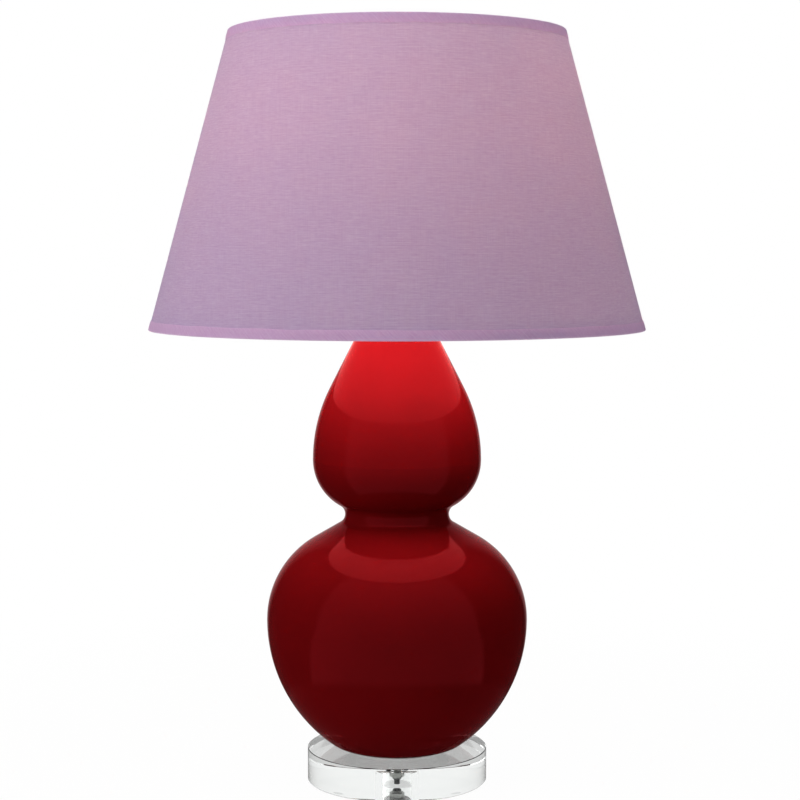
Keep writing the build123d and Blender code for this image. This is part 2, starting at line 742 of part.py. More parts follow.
def bulb_cap():
    """The bulb's metal cap, its thread left plain, drawn in towards the insulator."""
    neck = BULB_Z + BULB_CAP_SHOULDER + CONTACT_TIP_H
    top = BULB_Z + BULB_CAP_H
    wall = BULB_CAP_T
    return lathe(
        section(
            (INSULATOR_R - wall, neck - BULB_CAP_SHOULDER + wall),
            (INSULATOR_R, neck - BULB_CAP_SHOULDER + wall),
            (BULB_CAP_R, neck),
            (BULB_CAP_R, top),
            (BULB_CAP_R - wall, top),
            (BULB_CAP_R - wall, neck),
        )
    )


def bulb_insulator():
    """The glass ring between the cap and the tip."""
    low = BULB_Z + CONTACT_TIP_H / 2
    high = BULB_Z + CONTACT_TIP_H + BULB_CAP_SHOULDER
    outer_r = INSULATOR_R - BULB_CAP_T - THREAD_CLEAR
    edge = INSULATOR_EDGE
    return lathe(
        section(
            (CONTACT_TIP_R, low),
            (outer_r - edge, low),
            (outer_r, low + edge),
            (outer_r, high),
            (CONTACT_TIP_R, high),
        )
    )


def bulb_tip():
    """The contact at the bulb's foot."""
    edge = CONTACT_TIP_H / 2
    high = BULB_Z + CONTACT_TIP_DEPTH
    return lathe(
        section(
            (0, BULB_Z),
            (CONTACT_TIP_R - edge, BULB_Z),
            (CONTACT_TIP_R, BULB_Z + edge),
            (CONTACT_TIP_R, high),
            (0, high),
        )
    )


# ---------------------------------------------------------------- shade
def shade_fabric():
    return lathe(cone_band(SHADE_BOTTOM, SHADE_TOP, 0, FABRIC_T))


def shade_hardback():
    """The stiff white lining that the fabric is glued to."""
    return lathe(cone_band(SHADE_BOTTOM, SHADE_TOP, -FABRIC_T - GLUE_GAP, HARDBACK_T))


def ring_centre(edge, inwards):
    """Radius and height of a ring wire inside the hardback. inwards is 1 at the bottom, -1 at the top."""
    height = edge + inwards * RING_WIRE_R
    nearest = min(fabric_r(edge), fabric_r(edge + 2 * inwards * RING_WIRE_R))
    radius = nearest - FABRIC_T - GLUE_GAP - HARDBACK_T - RING_SEAT - RING_WIRE_R
    return radius, height


def trim(edge, inwards):
    """The folded tape over a rim: outside band, turn round the ring wire and inner leg."""
    ring_r = ring_centre(edge, inwards)[0]
    inner_r = ring_r - RING_WIRE_R - RING_SEAT
    past = edge - inwards * TRIM_T
    band_end = edge + inwards * TRIM_H
    turn_end = edge + inwards * TRIM_TURN_H
    outer_gap = GLUE_GAP
    return lathe(
        section(
            (fabric_r(edge) + outer_gap, edge),
            (fabric_r(band_end) + outer_gap, band_end),
            (fabric_r(band_end) + outer_gap + TRIM_T, band_end),
            (fabric_r(edge) + outer_gap + TRIM_T, edge),
            (fabric_r(edge) + outer_gap + TRIM_T / 2, past),
            (inner_r - TRIM_T / 2, past),
            (inner_r - TRIM_T, edge),
            (inner_r - TRIM_T, turn_end),
            (inner_r, turn_end),
            (inner_r, edge),
        )
    )


def bottom_trim():
    return trim(SHADE_BOTTOM, 1)


def top_trim():
    """The upper tape, snipped open inside where each arm reaches the ring."""
    ring_r, ring_z = ring_centre(SHADE_TOP, -1)
    snip_place = Pos(ring_r - 2 * RING_WIRE_R, 0, ring_z - SNIP_W / 2)
    snip = snip_place * Box(3 * RING_WIRE_R, SNIP_W, 2 * SNIP_W)
    tape = trim(SHADE_TOP, -1)
    for i in range(ARM_COUNT):
        tape -= Rot(0, 0, ARM_FIRST_ANGLE + i * 360 / ARM_COUNT) * snip
    return tape


def bottom_ring():
    """The wire ring inside the lower rim."""
    radius, height = ring_centre(SHADE_BOTTOM, 1)
    return Pos(0, 0, height) * Torus(radius, RING_WIRE_R)


def spider_fitter():
    """The upper ring with its three dropped arms, welded to the washer that sits on the harp."""
    ring_r, ring_z = ring_centre(SHADE_TOP, -1)
    arm_z = SEAT_Z + WASHER_T / 2
    arm_path = Plane.XZ * FilletPolyline(
        (ARM_START_R, arm_z), (ring_r - ARM_DROP_RUN, arm_z), (ring_r, ring_z), radius=ARM_BEND
    )
    arm = sweep(Plane(arm_path @ 0, z_dir=arm_path % 0) * Circle(RING_WIRE_R), path=arm_path)
    washer = tube(WASHER_R, STUD_R + WASHER_HOLE_CLEAR, SEAT_Z, SEAT_Z + WASHER_T)
    fitter = washer + Pos(0, 0, ring_z) * Torus(ring_r, RING_WIRE_R)
    for i in range(ARM_COUNT):
        fitter += Rot(0, 0, ARM_FIRST_ANGLE + i * 360 / ARM_COUNT) * arm
    return fitter


# ---------------------------------------------------------------- finial
def finial():
    """A turned ball finial, bored from below for the stud."""
    foot_top = FINIAL_Z + FINIAL_FOOT_H
    neck_top = foot_top + FINIAL_NECK_H
    collar_top = neck_top + FINIAL_COLLAR_H
    ball_z = collar_top + sqrt(FINIAL_BALL_R**2 - FINIAL_COLLAR_R**2)
    ball_foot = -degrees(acos(FINIAL_COLLAR_R / FINIAL_BALL_R))
    ball_end = degrees(acos(FINIAL_TIP_R / FINIAL_BALL_R))
    ball_top = ball_z + sqrt(FINIAL_BALL_R**2 - FINIAL_TIP_R**2)
    top = ball_top + FINIAL_TIP_H
    tip_foot = top - FINIAL_TIP_R
    bore_r = STUD_R + FINIAL_BORE_CLEAR
    bore_end = SEAT_Z + STUD_H + FINIAL_BORE_CLEAR
    edges = [
        Polyline(
            (0, bore_end),
            (bore_r, bore_end),
            (bore_r, FINIAL_Z),
            (FINIAL_FOOT_R, FINIAL_Z),
            (FINIAL_FOOT_R, foot_top),
        ),
        ThreePointArc(
            (FINIAL_FOOT_R, foot_top),
            (FINIAL_NECK_R, (foot_top + neck_top) / 2),
            (FINIAL_COLLAR_R, neck_top),
        ),
        Line((FINIAL_COLLAR_R, neck_top), (FINIAL_COLLAR_R, collar_top)),
        CenterArc((0, ball_z), FINIAL_BALL_R, ball_foot, ball_end - ball_foot),
        Line((FINIAL_TIP_R, ball_top), (FINIAL_TIP_R, tip_foot)),
        CenterArc((0, tip_foot), FINIAL_TIP_R, 0, 90),
        Line((0, top), (0, bore_end)),
    ]
    return lathe(make_face(edges))


# ---------------------------------------------------------------- every piece under its name
PIECES = {
    "base_bumpers": base_bumpers,
    "base_disc": base_disc,
    "base_lock_washer": base_lock_washer,
    "base_nut": base_nut,
    "lamp_pipe": lamp_pipe,
    "cord_bushing": cord_bushing,
    "foot_gasket": foot_gasket,
    "gourd_body": gourd_body,
    "vase_cap": vase_cap,
    "check_ring": check_ring,
    "neck_piece": neck_piece,
    "top_nut": top_nut,
    "harp_saddle": harp_saddle,
    "socket_cap": socket_cap,
    "cap_set_screw": cap_set_screw,
    "socket_shell": socket_shell,
    "socket_liner": socket_liner,
    "socket_block": socket_block,
    "terminal_screws": terminal_screws,
    "screw_shell": screw_shell,
    "centre_contact": centre_contact,
    "switch_stem": switch_stem,
    "switch_knob": switch_knob,
    "harp_wire": harp_wire,
    "harp_sleeve_left": lambda: harp_sleeve(-1),
    "harp_sleeve_right": lambda: harp_sleeve(1),
    "harp_stud": harp_stud,
    "bulb_glass": bulb_glass,
    "bulb_cap": bulb_cap,
    "bulb_insulator": bulb_insulator,
    "bulb_tip": bulb_tip,
    "spider_fitter": spider_fitter,
    "bottom_ring": bottom_ring,
    "shade_hardback": shade_hardback,
    "shade_fabric": shade_fabric,
    "top_trim": top_trim,
    "bottom_trim": bottom_trim,
    "finial": finial,
}

os.makedirs("parts", exist_ok=True)
for name, make in PIECES.items():
    piece = make()
    if isinstance(piece, (list, ShapeList)):
        piece = Compound(list(piece))
    export_step(piece, f"parts/{name}.step")
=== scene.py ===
import math

import bmesh
import bpy
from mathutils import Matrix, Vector, noise


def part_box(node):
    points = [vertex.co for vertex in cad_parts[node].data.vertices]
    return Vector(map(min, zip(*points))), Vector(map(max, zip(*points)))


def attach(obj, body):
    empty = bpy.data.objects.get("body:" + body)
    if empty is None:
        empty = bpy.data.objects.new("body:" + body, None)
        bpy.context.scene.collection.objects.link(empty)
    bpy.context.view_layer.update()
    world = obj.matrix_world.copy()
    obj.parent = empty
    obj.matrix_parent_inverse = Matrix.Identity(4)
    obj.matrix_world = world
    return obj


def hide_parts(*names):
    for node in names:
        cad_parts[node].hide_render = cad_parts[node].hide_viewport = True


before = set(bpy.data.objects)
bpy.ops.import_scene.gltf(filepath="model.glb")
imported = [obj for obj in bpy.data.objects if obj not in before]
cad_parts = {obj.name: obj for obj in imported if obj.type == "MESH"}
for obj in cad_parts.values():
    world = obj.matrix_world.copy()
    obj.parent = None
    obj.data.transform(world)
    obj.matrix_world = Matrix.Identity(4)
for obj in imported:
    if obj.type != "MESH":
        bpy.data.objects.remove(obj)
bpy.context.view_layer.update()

MM = 0.001
INCH = 0.0254
TURN = 2 * math.pi
BACK = math.pi / 2  # the side where the shade's seam and the tapes' ends lie
SHARP = math.radians(40)  # edges that bend by more are creases
NEAR_HEIGHT = 0.6 * MM
FIRST_COLOUR = 6  # the sockets of a colour mix: its two colours, and its result
SECOND_COLOUR = 7
MIXED_COLOUR = 2


# ---------------------------------------------------------------- shared helpers
def linear(colour):
    """An sRGB hex colour as the linear colour that the shaders use."""
    shares = [int(colour[i : i + 2], 16) / 255 for i in (0, 2, 4)]
    return [s / 12.92 if s <= 0.04045 else ((s + 0.055) / 1.055) ** 2.4 for s in shares] + [1.0]


def add(tree, kind, sockets=None, **settings):
    """Adds a node. Each socket, by name or number, gets a value or a link from another output."""
    made = tree.nodes.new(kind)
    for name, value in settings.items():
        setattr(made, name, value)
    for name, value in (sockets or {}).items():
        if isinstance(value, bpy.types.NodeSocket):
            tree.links.new(value, made.inputs[name])
        else:
            made.inputs[name].default_value = value
    return made


def blank(name):
    """A new material with no nodes."""
    made = bpy.data.materials.new(name)
    made.use_nodes = True
    made.node_tree.nodes.clear()
    return made


def coat_node(name, material):
    """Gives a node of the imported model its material."""
    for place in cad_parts[name].material_slots:
        place.material = material


def piece(name, verts, faces, material, body):
    """A new piece of the lamp from its mesh, riding on a body."""
    mesh = bpy.data.meshes.new(name)
    mesh.from_pydata(verts, [], faces)
    mesh.materials.append(material)
    made = bpy.data.objects.new(name, mesh)
    bpy.context.scene.collection.objects.link(made)
    for face in mesh.polygons:
        face.use_smooth = True
    mesh.set_sharp_from_angle(angle=SHARP)
    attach(made, body)
    return made


def radius_at(name, height):
    """A node's largest radius near a height."""
    points = [v.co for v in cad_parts[name].data.vertices]
    return max(math.hypot(p.x, p.y) for p in points if abs(p.z - height) < NEAR_HEIGHT)


def angles_round(steps, extra=()):
    """Even steps round the axis, which make room for some angles that a shape needs."""
    step = TURN / steps
    even = [i * step for i in range(steps)]
    clear = [a for a in even if all(abs(math.remainder(a - b, TURN)) > step / 3 for b in extra)]
    return sorted(clear + [b % TURN for b in extra])


def turned(loop_at, angles):
    """Vertices and faces of a ring whose closed section may change with the angle."""
    verts = []
    for angle in angles:
        verts += [(r * math.cos(angle), r * math.sin(angle), z) for r, z in loop_at(angle)]
    count = len(verts) // len(angles)
    faces = []
    for i in range(len(angles)):
        here, there = i * count, (i + 1) % len(angles) * count
        for j in range(count):
            k = (j + 1) % count
            faces.append((here + j, there + j, there + k, here + k))
    return verts, faces


# ---------------------------------------------------------------- the shade's cut
SHADE_LOW, SHADE_HIGH = (corner.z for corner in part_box("shade_fabric"))
SHADE_LOW_R = radius_at("shade_fabric", SHADE_LOW)
SHADE_HIGH_R = radius_at("shade_fabric", SHADE_HIGH)
SLANT = math.hypot(SHADE_LOW_R - SHADE_HIGH_R, SHADE_HIGH - SHADE_LOW)
CONE_SINE = (SHADE_LOW_R - SHADE_HIGH_R) / SLANT
CLOTH_T = 0.6 * MM
RING_STEPS = 256  # points round the cloth and the tapes


def shade_r(z):
    """The cloth's outer radius at a height."""
    share = (z - SHADE_LOW) / (SHADE_HIGH - SHADE_LOW)
    return SHADE_LOW_R + (SHADE_HIGH_R - SHADE_LOW_R) * share


def from_front(place):
    """The angle round the lamp from its front, from -pi to pi, so that the cut is at the back."""
    return math.atan2(place.x, -place.y)


def lay_weave(made):
    """UVs in metres, round the shade and up its slant, because the weft runs level all round."""
    mesh = made.data
    layer = mesh.uv_layers.new(name="cut")
    climb = 1 / math.sqrt(1 - CONE_SINE**2)
    for face in mesh.polygons:
        middle = from_front(face.center)
        for i in face.loop_indices:
            place = mesh.vertices[mesh.loops[i].vertex_index].co
            angle = from_front(place)
            angle += TURN * round((middle - angle) / TURN)
            layer.data[i].uv = (angle * math.hypot(place.x, place.y), place.z * climb)


# ---------------------------------------------------------------- materials
SLUB_LONG = 26 * MM  # a thick place in a weft thread
SLUB_SHORT = 7 * MM
WEFT_PITCH = 1.3 * MM  # the real threads are twice as fine, and would not show at this size
WARP_PITCH = 1.1 * MM
WARP_SHOWS = 0.45  # how much the warp shows beside the weft, which covers it
THREAD_TONES = (0.85, 1.6)  # the summed patterns at the darkest and the lightest thread
BIAS = math.radians(45)  # a bias tape is cut this far across the threads
SHEER_THREAD = "fff8ff"  # what a thin thread does to the lamplight
CLOTH_SHEER = 0.6  # the shares of light that pass through cloth and styrene
STYRENE_SHEER = 0.8


def scaled(tree, place, along, across, turn=0.0):
    """Coordinates in which one unit is this far along and across, in metres."""
    grain = add(tree, "ShaderNodeMapping", {"Vector": place, "Rotation": (0, 0, turn)})
    size = (1 / along, 1 / across, 1 / across)
    return add(
        tree, "ShaderNodeVectorMath", {0: grain.outputs[0], 1: size}, operation="MULTIPLY"
    ).outputs[0]


def woven_cloth(name, dark, light, through, turn=0.0):
    """Slubbed silk-look polyester: uneven weft threads catch the light as short level streaks,
    and lamplight comes through it warmer and redder."""
    made = blank(name)
    tree = made.node_tree
    place = add(tree, "ShaderNodeUVMap", uv_map="cut").outputs[0]
    slubs = add(
        tree,
        "ShaderNodeTexNoise",
        {"Vector": scaled(tree, place, SLUB_LONG, WEFT_PITCH, turn), "Scale": 1.0, "Detail": 2.0},
    )
    nubs = add(
        tree,
        "ShaderNodeTexNoise",
        {"Vector": scaled(tree, place, SLUB_SHORT, WEFT_PITCH, turn), "Scale": 1.0, "Detail": 3.0},
    )
    warps = add(
        tree,
        "ShaderNodeTexNoise",
        {"Vector": scaled(tree, place, WARP_PITCH, SLUB_LONG, turn), "Scale": 1.0, "Detail": 2.0},
    )
    threads = add(
        tree, "ShaderNodeMath", {0: slubs.outputs[0], 1: nubs.outputs[0]}, operation="ADD"
    )
    weave = add(
        tree,
        "ShaderNodeMath",
        {0: warps.outputs[0], 1: WARP_SHOWS, 2: threads.outputs[0]},
        operation="MULTIPLY_ADD",
    )
    share = add(
        tree,
        "ShaderNodeMapRange",
        {"Value": weave.outputs[0], "From Min": THREAD_TONES[0], "From Max": THREAD_TONES[1]},
    ).outputs[0]
    bump = add(
        tree, "ShaderNodeBump", {"Height": share, "Strength": 0.3, "Distance": 0.1 * MM}
    ).outputs[0]
    dyed = add(
        tree,
        "ShaderNodeMix",
        {"Factor": share, FIRST_COLOUR: linear(dark), SECOND_COLOUR: linear(light)},
        data_type="RGBA",
    ).outputs[MIXED_COLOUR]
    face = add(
        tree,
        "ShaderNodeBsdfPrincipled",
        {
            "Base Color": dyed,
            "Roughness": 0.75,
            "Sheen Weight": 0.15,
            "Sheen Roughness": 0.4,
            "Normal": bump,
        },
    )
    lit = add(
        tree,
        "ShaderNodeMix",
        {"Factor": share, FIRST_COLOUR: linear(through), SECOND_COLOUR: linear(SHEER_THREAD)},
        data_type="RGBA",
    ).outputs[MIXED_COLOUR]
    glow = add(tree, "ShaderNodeBsdfTranslucent", {"Color": lit, "Normal": bump})
    mixed = add(
        tree, "ShaderNodeMixShader", {0: CLOTH_SHEER, 1: face.outputs[0], 2: glow.outputs[0]}
    )
    add(tree, "ShaderNodeOutputMaterial", {"Surface": mixed.outputs[0]})
    return made


def hardback_styrene():
    """White pressure-sensitive styrene: smooth, slightly glossy, and it lets light through evenly."""
    made = blank("hardback_styrene")
    tree = made.node_tree
    place = add(tree, "ShaderNodeTexCoord").outputs["Object"]
    rolls = add(tree, "ShaderNodeTexNoise", {"Vector": place, "Scale": 1 / (60 * MM), "Detail": 3.0})
    bump = add(
        tree,
        "ShaderNodeBump",
        {"Height": rolls.outputs[0], "Strength": 0.2, "Distance": 0.4 * MM},
    ).outputs[0]
    tone = add(
        tree,
        "ShaderNodeMix",
        {"Factor": rolls.outputs[0], FIRST_COLOUR: linear("e9e5e2"), SECOND_COLOUR: linear("f2eeea")},
        data_type="RGBA",
    ).outputs[MIXED_COLOUR]
    sheet = add(
        tree,
        "ShaderNodeBsdfPrincipled",
        {"Base Color": tone, "Roughness": 0.42, "Normal": bump},
    )
    glow = add(tree, "ShaderNodeBsdfTranslucent", {"Color": linear("f6f0ea"), "Normal": bump})
    mixed = add(
        tree, "ShaderNodeMixShader", {0: STYRENE_SHEER, 1: sheet.outputs[0], 2: glow.outputs[0]}
    )
    add(tree, "ShaderNodeOutputMaterial", {"Surface": mixed.outputs[0]})
    return made


GLAZE_GLOSS = 0.6  # how strongly the glaze mirrors, beside perfect glass


def oxblood_glaze():
    """Stoneware under a thick, fully melted oxblood glaze: a deep red body under a mirror-smooth
    skin with a slow waviness, whose copper-red stain tints all that it mirrors."""
    made = blank("oxblood_glaze")
    tree = made.node_tree
    place = add(tree, "ShaderNodeTexCoord").outputs["Object"]
    pooling = add(
        tree, "ShaderNodeTexNoise", {"Vector": place, "Scale": 1 / (70 * MM), "Detail": 3.0}
    )
    waves = add(
        tree, "ShaderNodeTexNoise", {"Vector": place, "Scale": 1 / (28 * MM), "Detail": 1.0}
    )
    bump = add(
        tree,
        "ShaderNodeBump",
        {"Height": waves.outputs[0], "Strength": 0.25, "Distance": 0.12 * MM},
    ).outputs[0]
    depth = add(
        tree,
        "ShaderNodeMix",
        {"Factor": pooling.outputs[0], FIRST_COLOUR: linear("4e0406"), SECOND_COLOUR: linear("5a0508")},
        data_type="RGBA",
    ).outputs[MIXED_COLOUR]
    # The skin below does all the mirroring, so the body has no gloss of its own.
    body = add(
        tree,
        "ShaderNodeBsdfPrincipled",
        {"Base Color": depth, "Roughness": 0.3, "Specular IOR Level": 0.0, "Normal": bump},
    )
    skin = add(
        tree,
        "ShaderNodeBsdfPrincipled",
        {"Base Color": linear("ff4c57"), "Metallic": 1.0, "Roughness": 0.03, "Normal": bump},
    )
    gloss = add(tree, "ShaderNodeFresnel", {"IOR": 1.5, "Normal": bump})
    share = add(tree, "ShaderNodeMath", {0: gloss.outputs[0], 1: GLAZE_GLOSS}, operation="MULTIPLY")
    face = add(
        tree, "ShaderNodeMixShader", {0: share.outputs[0], 1: body.outputs[0], 2: skin.outputs[0]}
    )
    add(tree, "ShaderNodeOutputMaterial", {"Surface": face.outputs[0]})
    return made


def clear_plastic(name, tone, roughness, ior, waves, unseen=0.0):
    """Cast acrylic or silicone: clear all through, with a slow waviness left by its making. What
    is stuck to a clear piece loses the share of its own surface that is unseen."""
    made = blank(name)
    tree = made.node_tree
    place = add(tree, "ShaderNodeTexCoord").outputs["Object"]
    turning = add(
        tree, "ShaderNodeTexNoise", {"Vector": place, "Scale": 1 / waves, "Detail": 1.0}
    )
    bump = add(
        tree,
        "ShaderNodeBump",
        {"Height": turning.outputs[0], "Strength": 0.15, "Distance": 0.2 * MM},
    ).outputs[0]
    block = add(
        tree,
        "ShaderNodeBsdfPrincipled",
        {
            "Base Color": linear(tone),
            "Roughness": roughness,
            "IOR": ior,
            "Transmission Weight": 1.0,
            "Normal": bump,
        },
    ).outputs[0]
    if unseen:
        clear = add(tree, "ShaderNodeBsdfTransparent").outputs[0]
        block = add(tree, "ShaderNodeMixShader", {0: unseen, 1: block, 2: clear}).outputs[0]
    add(tree, "ShaderNodeOutputMaterial", {"Surface": block})
    return made


def metal(name, dark, light, roughness, grain):
    """A bare or plated metal: its tone and polish drift a little over each piece."""
    made = blank(name)
    tree = made.node_tree
    place = add(tree, "ShaderNodeTexCoord").outputs["Object"]
    marks = add(tree, "ShaderNodeTexNoise", {"Vector": place, "Scale": 1 / grain, "Detail": 4.0})
    polish = add(
        tree,
        "ShaderNodeMapRange",
        {"Value": marks.outputs[0], "To Min": roughness * 0.8, "To Max": roughness * 1.25},
    ).outputs[0]
    bump = add(
        tree,
        "ShaderNodeBump",
        {"Height": marks.outputs[0], "Strength": 0.3, "Distance": 0.02 * MM},
    ).outputs[0]
    tone = add(
        tree,
        "ShaderNodeMix",
        {"Factor": marks.outputs[0], FIRST_COLOUR: linear(dark), SECOND_COLOUR: linear(light)},
        data_type="RGBA",
    ).outputs[MIXED_COLOUR]
    face = add(
        tree,
        "ShaderNodeBsdfPrincipled",
        {"Base Color": tone, "Metallic": 1.0, "Roughness": polish, "Normal": bump},
    )
    add(tree, "ShaderNodeOutputMaterial", {"Surface": face.outputs[0]})
    return made


def moulded(name, dark, light, roughness, grain):
    """A moulded or coated opaque piece with a fine even skin."""
    made = blank(name)
    tree = made.node_tree
    place = add(tree, "ShaderNodeTexCoord").outputs["Object"]
    skin = add(tree, "ShaderNodeTexNoise", {"Vector": place, "Scale": 1 / grain, "Detail": 3.0})
    bump = add(
        tree,
        "ShaderNodeBump",
        {"Height": skin.outputs[0], "Strength": 0.3, "Distance": 0.05 * MM},
    ).outputs[0]
    tone = add(
        tree,
        "ShaderNodeMix",
        {"Factor": skin.outputs[0], FIRST_COLOUR: linear(dark), SECOND_COLOUR: linear(light)},
        data_type="RGBA",
    ).outputs[MIXED_COLOUR]
    face = add(
        tree,
        "ShaderNodeBsdfPrincipled",
        {"Base Color": tone, "Roughness": roughness, "Normal": bump},
    )
    add(tree, "ShaderNodeOutputMaterial", {"Surface": face.outputs[0]})
    return made


NECK_GLOW = 6.0  # how strongly the bulb shines, at its neck and at its crown
CROWN_GLOW = 530.0
CROWN_GATHER = 6.0  # how closely the light gathers at the crown


def frosted_glow():
    """A lit soft-white bulb: its coating spreads the light over the whole globe, brightest at the
    crown, and warmer and dimmer towards the neck."""
    made = blank("frosted_glow")
    tree = made.node_tree
    place = add(tree, "ShaderNodeTexCoord").outputs["Object"]
    height = add(tree, "ShaderNodeSeparateXYZ", {0: place}).outputs["Z"]
    low, high = (corner.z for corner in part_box("bulb_glass"))
    share = add(
        tree, "ShaderNodeMapRange", {"Value": height, "From Min": low, "From Max": high}
    ).outputs[0]
    crown = add(tree, "ShaderNodeMath", {0: share, 1: CROWN_GATHER}, operation="POWER").outputs[0]
    strength = add(
        tree,
        "ShaderNodeMapRange",
        {"Value": crown, "To Min": NECK_GLOW, "To Max": CROWN_GLOW},
    ).outputs[0]
    warmth = add(
        tree,
        "ShaderNodeMix",
        {"Factor": share, FIRST_COLOUR: linear("ffc090"), SECOND_COLOUR: linear("ffc9b1")},
        data_type="RGBA",
    ).outputs[MIXED_COLOUR]
    face = add(
        tree,
        "ShaderNodeBsdfPrincipled",
        {
            "Base Color": linear("f6f2ea"),
            "Roughness": 0.25,
            "Emission Color": warmth,
            "Emission Strength": strength,
        },
    )
    add(tree, "ShaderNodeOutputMaterial", {"Surface": face.outputs[0]})
    return made


glaze = oxblood_glaze()
acrylic = clear_plastic("polished_acrylic", "f7f9f8", 0.01, 1.491, 35 * MM)
nickel = metal("polished_nickel", "b8b0a2", "d2cbbf", 0.16, 4 * MM)
zinc = metal("zinc_plated_steel", "8f918f", "b3b4b0", 0.34, 1.5 * MM)
brass = metal("drawn_brass", "a8813a", "c9a155", 0.25, 3 * MM)
spun_aluminium = metal("spun_aluminium", "a9aaab", "c4c5c6", 0.3, 2 * MM)
phenolic = moulded("black_phenolic", "0f0d0c", "1a1716", 0.32, 2 * MM)
enamel = moulded("white_wire_enamel", "dcdad6", "eceae6", 0.35, 3 * MM)
fibre = moulded("fibre_liner", "8a6a45", "a3835a", 0.85, 1.2 * MM)
felt = moulded("grey_felt_gasket", "a9a8a5", "c2c1be", 0.95, 0.8 * MM)
silicone = clear_plastic("clear_silicone", "f6f8f7", 0.12, 1.41, 6 * MM, 0.75)
rubber = moulded("black_rubber", "15161a", "222327", 0.7, 1.5 * MM)
styrene = hardback_styrene()
bulb_light = frosted_glow()
shade_silk = woven_cloth("lilac_shade_cloth", "9c94b3", "aca4c3", "eddbf0")
# painted light: the tape is cut from the shade's own cloth, yet its colours are written lighter than
# the cloth's, standing in for the lamplight that comes through the cloth and less through the folded
# tape
painted_light_tape_silk = woven_cloth("lilac_bias_tape", "ccafcb", "d3b6d2", "f0dcf0", BIAS)

# The nodes that stay. The pieces made below have their own finish.
FINISHES = {
    "base_bumpers": silicone,
    "base_disc": acrylic,
    "base_lock_washer": zinc,
    "base_nut": zinc,
    "cord_bushing": rubber,
    "foot_gasket": felt,
    "gourd_body": glaze,
    "vase_cap": nickel,
    "check_ring": nickel,
    "neck_piece": nickel,
    "top_nut": zinc,
    "harp_saddle": nickel,
    "socket_cap": nickel,
    "socket_shell": nickel,
    "socket_liner": fibre,
    "socket_block": phenolic,
    "centre_contact": brass,
    "switch_stem": brass,
    "switch_knob": phenolic,
    "harp_wire": nickel,
    "harp_sleeve_left": nickel,
    "harp_sleeve_right": nickel,
    "bulb_glass": bulb_light,
    "bulb_insulator": phenolic,
    "bulb_tip": zinc,
    "spider_fitter": enamel,
    "bottom_ring": enamel,
    "shade_hardback": styrene,
    "finial": nickel,
}
for name, material in FINISHES.items():
    coat_node(name, material)


# ---------------------------------------------------------------- the shade's cloth and tapes
CLOTH_ROWS = 40
SEAM_LAP = 14 * MM
LAP_EASE = 0.2  # the last share of a lap's width, over which the top layer falls off
HAND_ROLL = 0.12 * MM  # how far the laminated sheet strays from a true cone
HAND_ROLL_LONG = 0.5  # the spacing of such a wander, as a share of the radius, here and below
WANDER_RISE = 0.3  # the height over which it changes as much as over one radius of the rim
OTHER_WANDER = 1.0  # this far up it is another one
CRISP = 0.0004  # radians over which a cut edge steps up
GLUE = 0.05 * MM
TAPE_T = 0.7 * MM
TAPE_OUT = 9.5 * MM
TAPE_IN = 6.0 * MM
TAPE_SWAY = 0.5 * MM  # how far a tape's outer edge wanders from level
TAPE_SWAY_LONG = 0.11
TAPE_PUFF = 0.1 * MM  # how unevenly it lies on the cloth
TAPE_PUFF_LONG = 0.08
TAPE_LAP = 12 * MM
TAPE_LAP_AT = BACK + 0.09  # the tapes' ends lie beside the cloth's seam
TAPE_LAP_T = 0.8 * TAPE_T  # a glued lap is pressed thinner than the tape
TAPE_POINTS = 56
PRESSED = (0.15, 0.3, 0.42, 0.52, 0.6, 0.68, 0.75, 0.8, 0.85, 0.9, 0.95, 1.0)  # its glued edges
RIM_POINTS = 5  # round the cloth's edge, and then round the ring's wire
WIRE_POINTS = 7
WIRE_R = 1.5 * MM
WIRE_AT = 3.05 * MM  # the ring wire's axis lies this far inside the cloth's nearest outer radius
SNIP_ANGLES = [math.radians(a) for a in (90, 210, 330)]  # where the spider's arms meet the ring
SNIP_W = 4 * MM
SNIP_KEEPS = 9  # the points of a tape's path that a snip leaves: it stops under the wire


def uneven(angle, height, size, reach):
    """A slow wander along the rim, the same each time."""
    where = Vector((math.cos(angle), math.sin(angle), height / WANDER_RISE)) / size
    return reach * noise.noise(where)


def lap_rise(angle, start, radius, width, thick):
    """How far the top layer of a lap stands out: it ends crisp at the start and falls off softly."""
    along = (angle - start) % TURN * radius
    return thick * min(max((width - along) / (LAP_EASE * width), 0.0), 1.0)


def seam_rise(angle):
    """How far the cloth stands out at its own seam."""
    return lap_rise(angle, BACK, SHADE_LOW_R, SEAM_LAP, CLOTH_T)


def cloth_loop(angle):
    """The cloth's closed section: up its outside and down its inside."""
    heights = [SHADE_LOW + i * (SHADE_HIGH - SHADE_LOW) / CLOTH_ROWS for i in range(CLOTH_ROWS + 1)]
    skin = [(shade_r(z) + uneven(angle, z, HAND_ROLL_LONG, HAND_ROLL), z) for z in heights]
    outside = [(r + seam_rise(angle), z) for r, z in skin]
    inside = [(r - CLOTH_T, z) for r, z in reversed(skin)]
    return outside + inside


def shade_cloth():
    """The cloth over the hardback, cut as one sector of a ring and lapped at the back."""
    lap = SEAM_LAP / SHADE_LOW_R
    edges = [BACK - CRISP, BACK, BACK + (1 - LAP_EASE) * lap, BACK + lap]
    verts, faces = turned(cloth_loop, angles_round(RING_STEPS, edges))
    made = piece("shade_cloth", verts, faces, shade_silk, "shade")
    lay_weave(made)
    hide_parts("shade_fabric")


def arc(middle, radius, start, end, count):
    """Points on a circle between two angles in degrees."""
    turns = [math.radians(start + i * (end - start) / (count - 1)) for i in range(count)]
    return [(middle[0] + radius * math.cos(a), middle[1] + radius * math.sin(a)) for a in turns]


